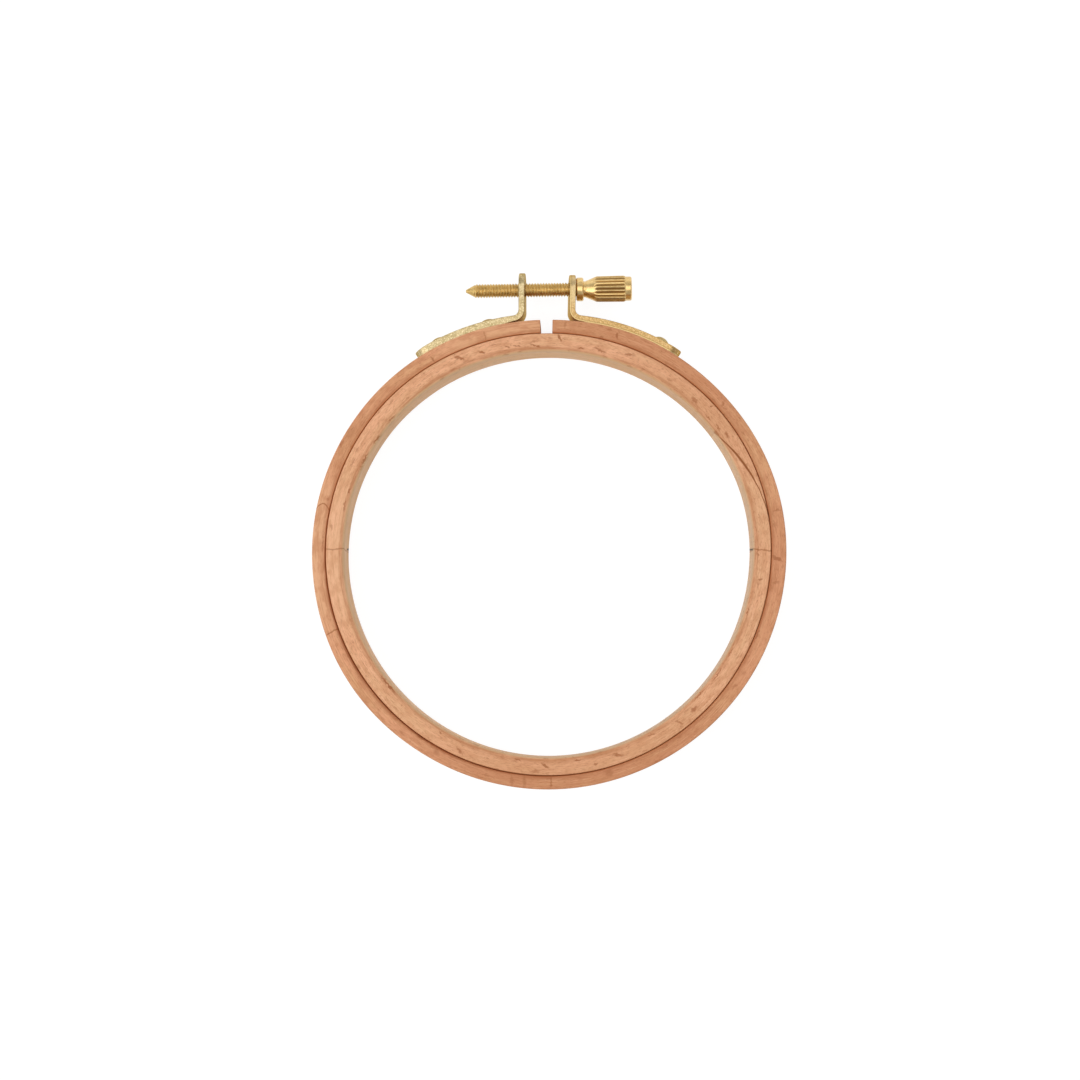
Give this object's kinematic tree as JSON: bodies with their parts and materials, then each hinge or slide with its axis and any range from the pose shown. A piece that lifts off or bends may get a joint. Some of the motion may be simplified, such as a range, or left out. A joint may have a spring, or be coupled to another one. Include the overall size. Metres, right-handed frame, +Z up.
{
  "type": "embroidery hoop",
  "caption": "Round wooden embroidery hoop: a split outer ring clamps over an inner ring, drawn together by a knurled brass screw through riveted bracket ears.",
  "frame": {"origin": "under the middle of the bounding box, on the plane that both rings rest on; the rings' common axis passes 5.6 mm behind it, at y = -0.0056 m", "axes": "+Z up along the rings' axis, +Y from the rings towards the clamp, +X towards the screw's knurled head"},
  "size_m": [0.1062, 0.1172, 0.0123],
  "materials": {
    "beech_outer": "satin",
    "beech_inner": "satin",
    "tumbled_brass": "satin",
    "turned_brass": "polished"
  },
  "bodies": {
    "outer_hoop": {"outer_ring": "beech_outer", "left_bracket": "tumbled_brass", "left_tail_rivet": "tumbled_brass", "left_bend_rivet": "tumbled_brass"},
    "right_clamp": {"right_bracket": "tumbled_brass", "right_bend_rivet": "tumbled_brass", "right_tail_rivet": "tumbled_brass"},
    "screw": {"clamp_screw": "turned_brass"},
    "inner_hoop": {"inner_ring": "beech_inner"}
  },
  "joints": [
    {"name": "hoop_opening", "type": "hinge", "parent": "outer_hoop", "child": "right_clamp", "pos_m": [0, -0.0572, 0.006], "axis": [0, 0, -1], "range_deg": [0, 2.6], "deforming": ["outer_ring"]},
    {"name": "screw_turn", "type": "hinge", "parent": "right_clamp", "child": "screw", "pos_m": [0.0056, 0.0549, 0.006], "axis": [0.9999, 0.014, 0], "range_deg": [0, 2880]},
    {"name": "inner_lift", "type": "slide", "parent": "outer_hoop", "child": "inner_hoop", "axis": [0, 0, 1], "range_m": [0, 0.016]}
  ],
  "couplings": [
    {"joint": "hoop_opening", "follows": "screw_turn", "ratio": 0.00090155}
  ]
}
